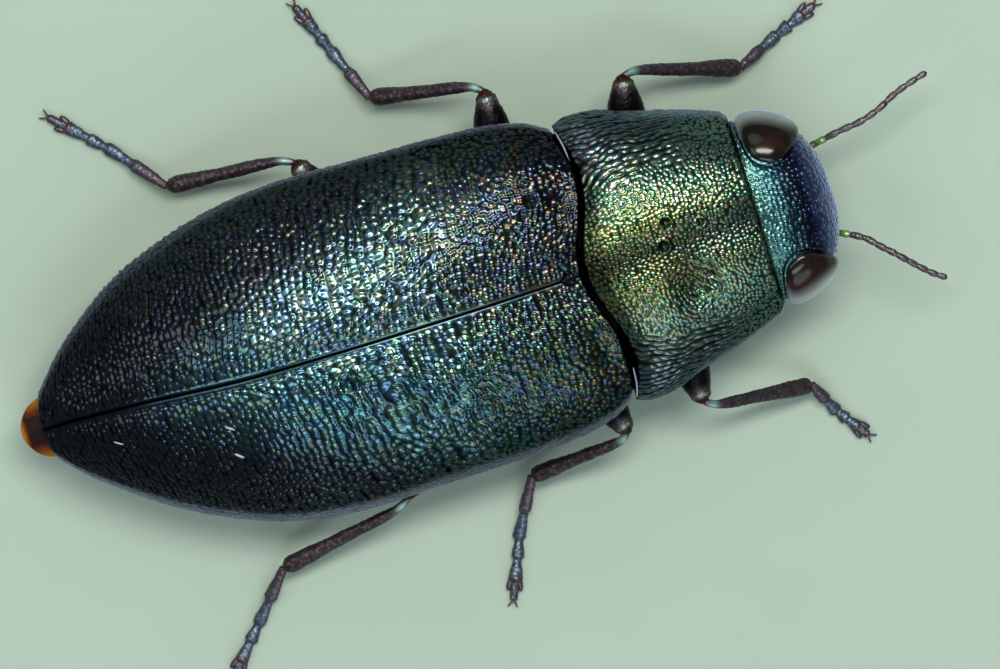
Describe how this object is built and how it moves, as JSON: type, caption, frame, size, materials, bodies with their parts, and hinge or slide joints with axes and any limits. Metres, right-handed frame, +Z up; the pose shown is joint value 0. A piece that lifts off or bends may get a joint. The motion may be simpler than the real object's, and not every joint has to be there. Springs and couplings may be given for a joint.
{
  "type": "jewel beetle",
  "caption": "Small metallic jewel beetle with a green saddle-shaped pronotum, blue-black granulated wing cases and an amber tail tip, standing still at life size.",
  "frame": {"origin": "on the floor, under the middle of the beetle's box, feelers and feet included", "axes": "+Z up, head towards -Y, tail towards +Y, the beetle's left side towards +X"},
  "size_m": [0.0079, 0.0119, 0.0026],
  "materials": {
    "head_cuticle": "metallic blue-green cuticle, finely granulate",
    "pronotum_cuticle": "metallic green cuticle with a golden middle, granulate and wrinkled at the sides",
    "elytra_cuticle": "metallic blue-black cuticle, scale-like granulate",
    "underside_cuticle": "bronze-black metallic cuticle, punctate",
    "leg_cuticle": "dark purple-bronze cuticle, punctate, with orange-brown joints",
    "feeler_cuticle": "blue-grey metallic beads",
    "eye_lens": "glossy dark brown compound eye",
    "amber_cuticle": "translucent amber cuticle"
  },
  "bodies": {
    "root": {"head": "head_cuticle", "mouthparts": "leg_cuticle", "eye_left": "eye_lens", "eye_right": "eye_lens", "antenna_left": "feeler_cuticle", "antenna_right": "feeler_cuticle", "prothorax": "pronotum_cuticle", "scutellum": "elytra_cuticle", "elytron_left": "elytra_cuticle", "elytron_right": "elytra_cuticle", "hind_thorax": "underside_cuticle", "abdomen": "underside_cuticle", "tail_tip": "amber_cuticle", "coxa_front_left": "leg_cuticle", "femur_front_left": "leg_cuticle", "tibia_front_left": "leg_cuticle", "tarsus_front_left": "leg_cuticle", "coxa_front_right": "leg_cuticle", "femur_front_right": "leg_cuticle", "tibia_front_right": "leg_cuticle", "tarsus_front_right": "leg_cuticle", "coxa_mid_left": "leg_cuticle", "femur_mid_left": "leg_cuticle", "tibia_mid_left": "leg_cuticle", "tarsus_mid_left": "leg_cuticle", "coxa_mid_right": "leg_cuticle", "femur_mid_right": "leg_cuticle", "tibia_mid_right": "leg_cuticle", "tarsus_mid_right": "leg_cuticle", "coxa_rear_left": "leg_cuticle", "femur_rear_left": "leg_cuticle", "tibia_rear_left": "leg_cuticle", "tarsus_rear_left": "leg_cuticle", "coxa_rear_right": "leg_cuticle", "femur_rear_right": "leg_cuticle", "tibia_rear_right": "leg_cuticle", "tarsus_rear_right": "leg_cuticle"}
  },
  "joints": []
}
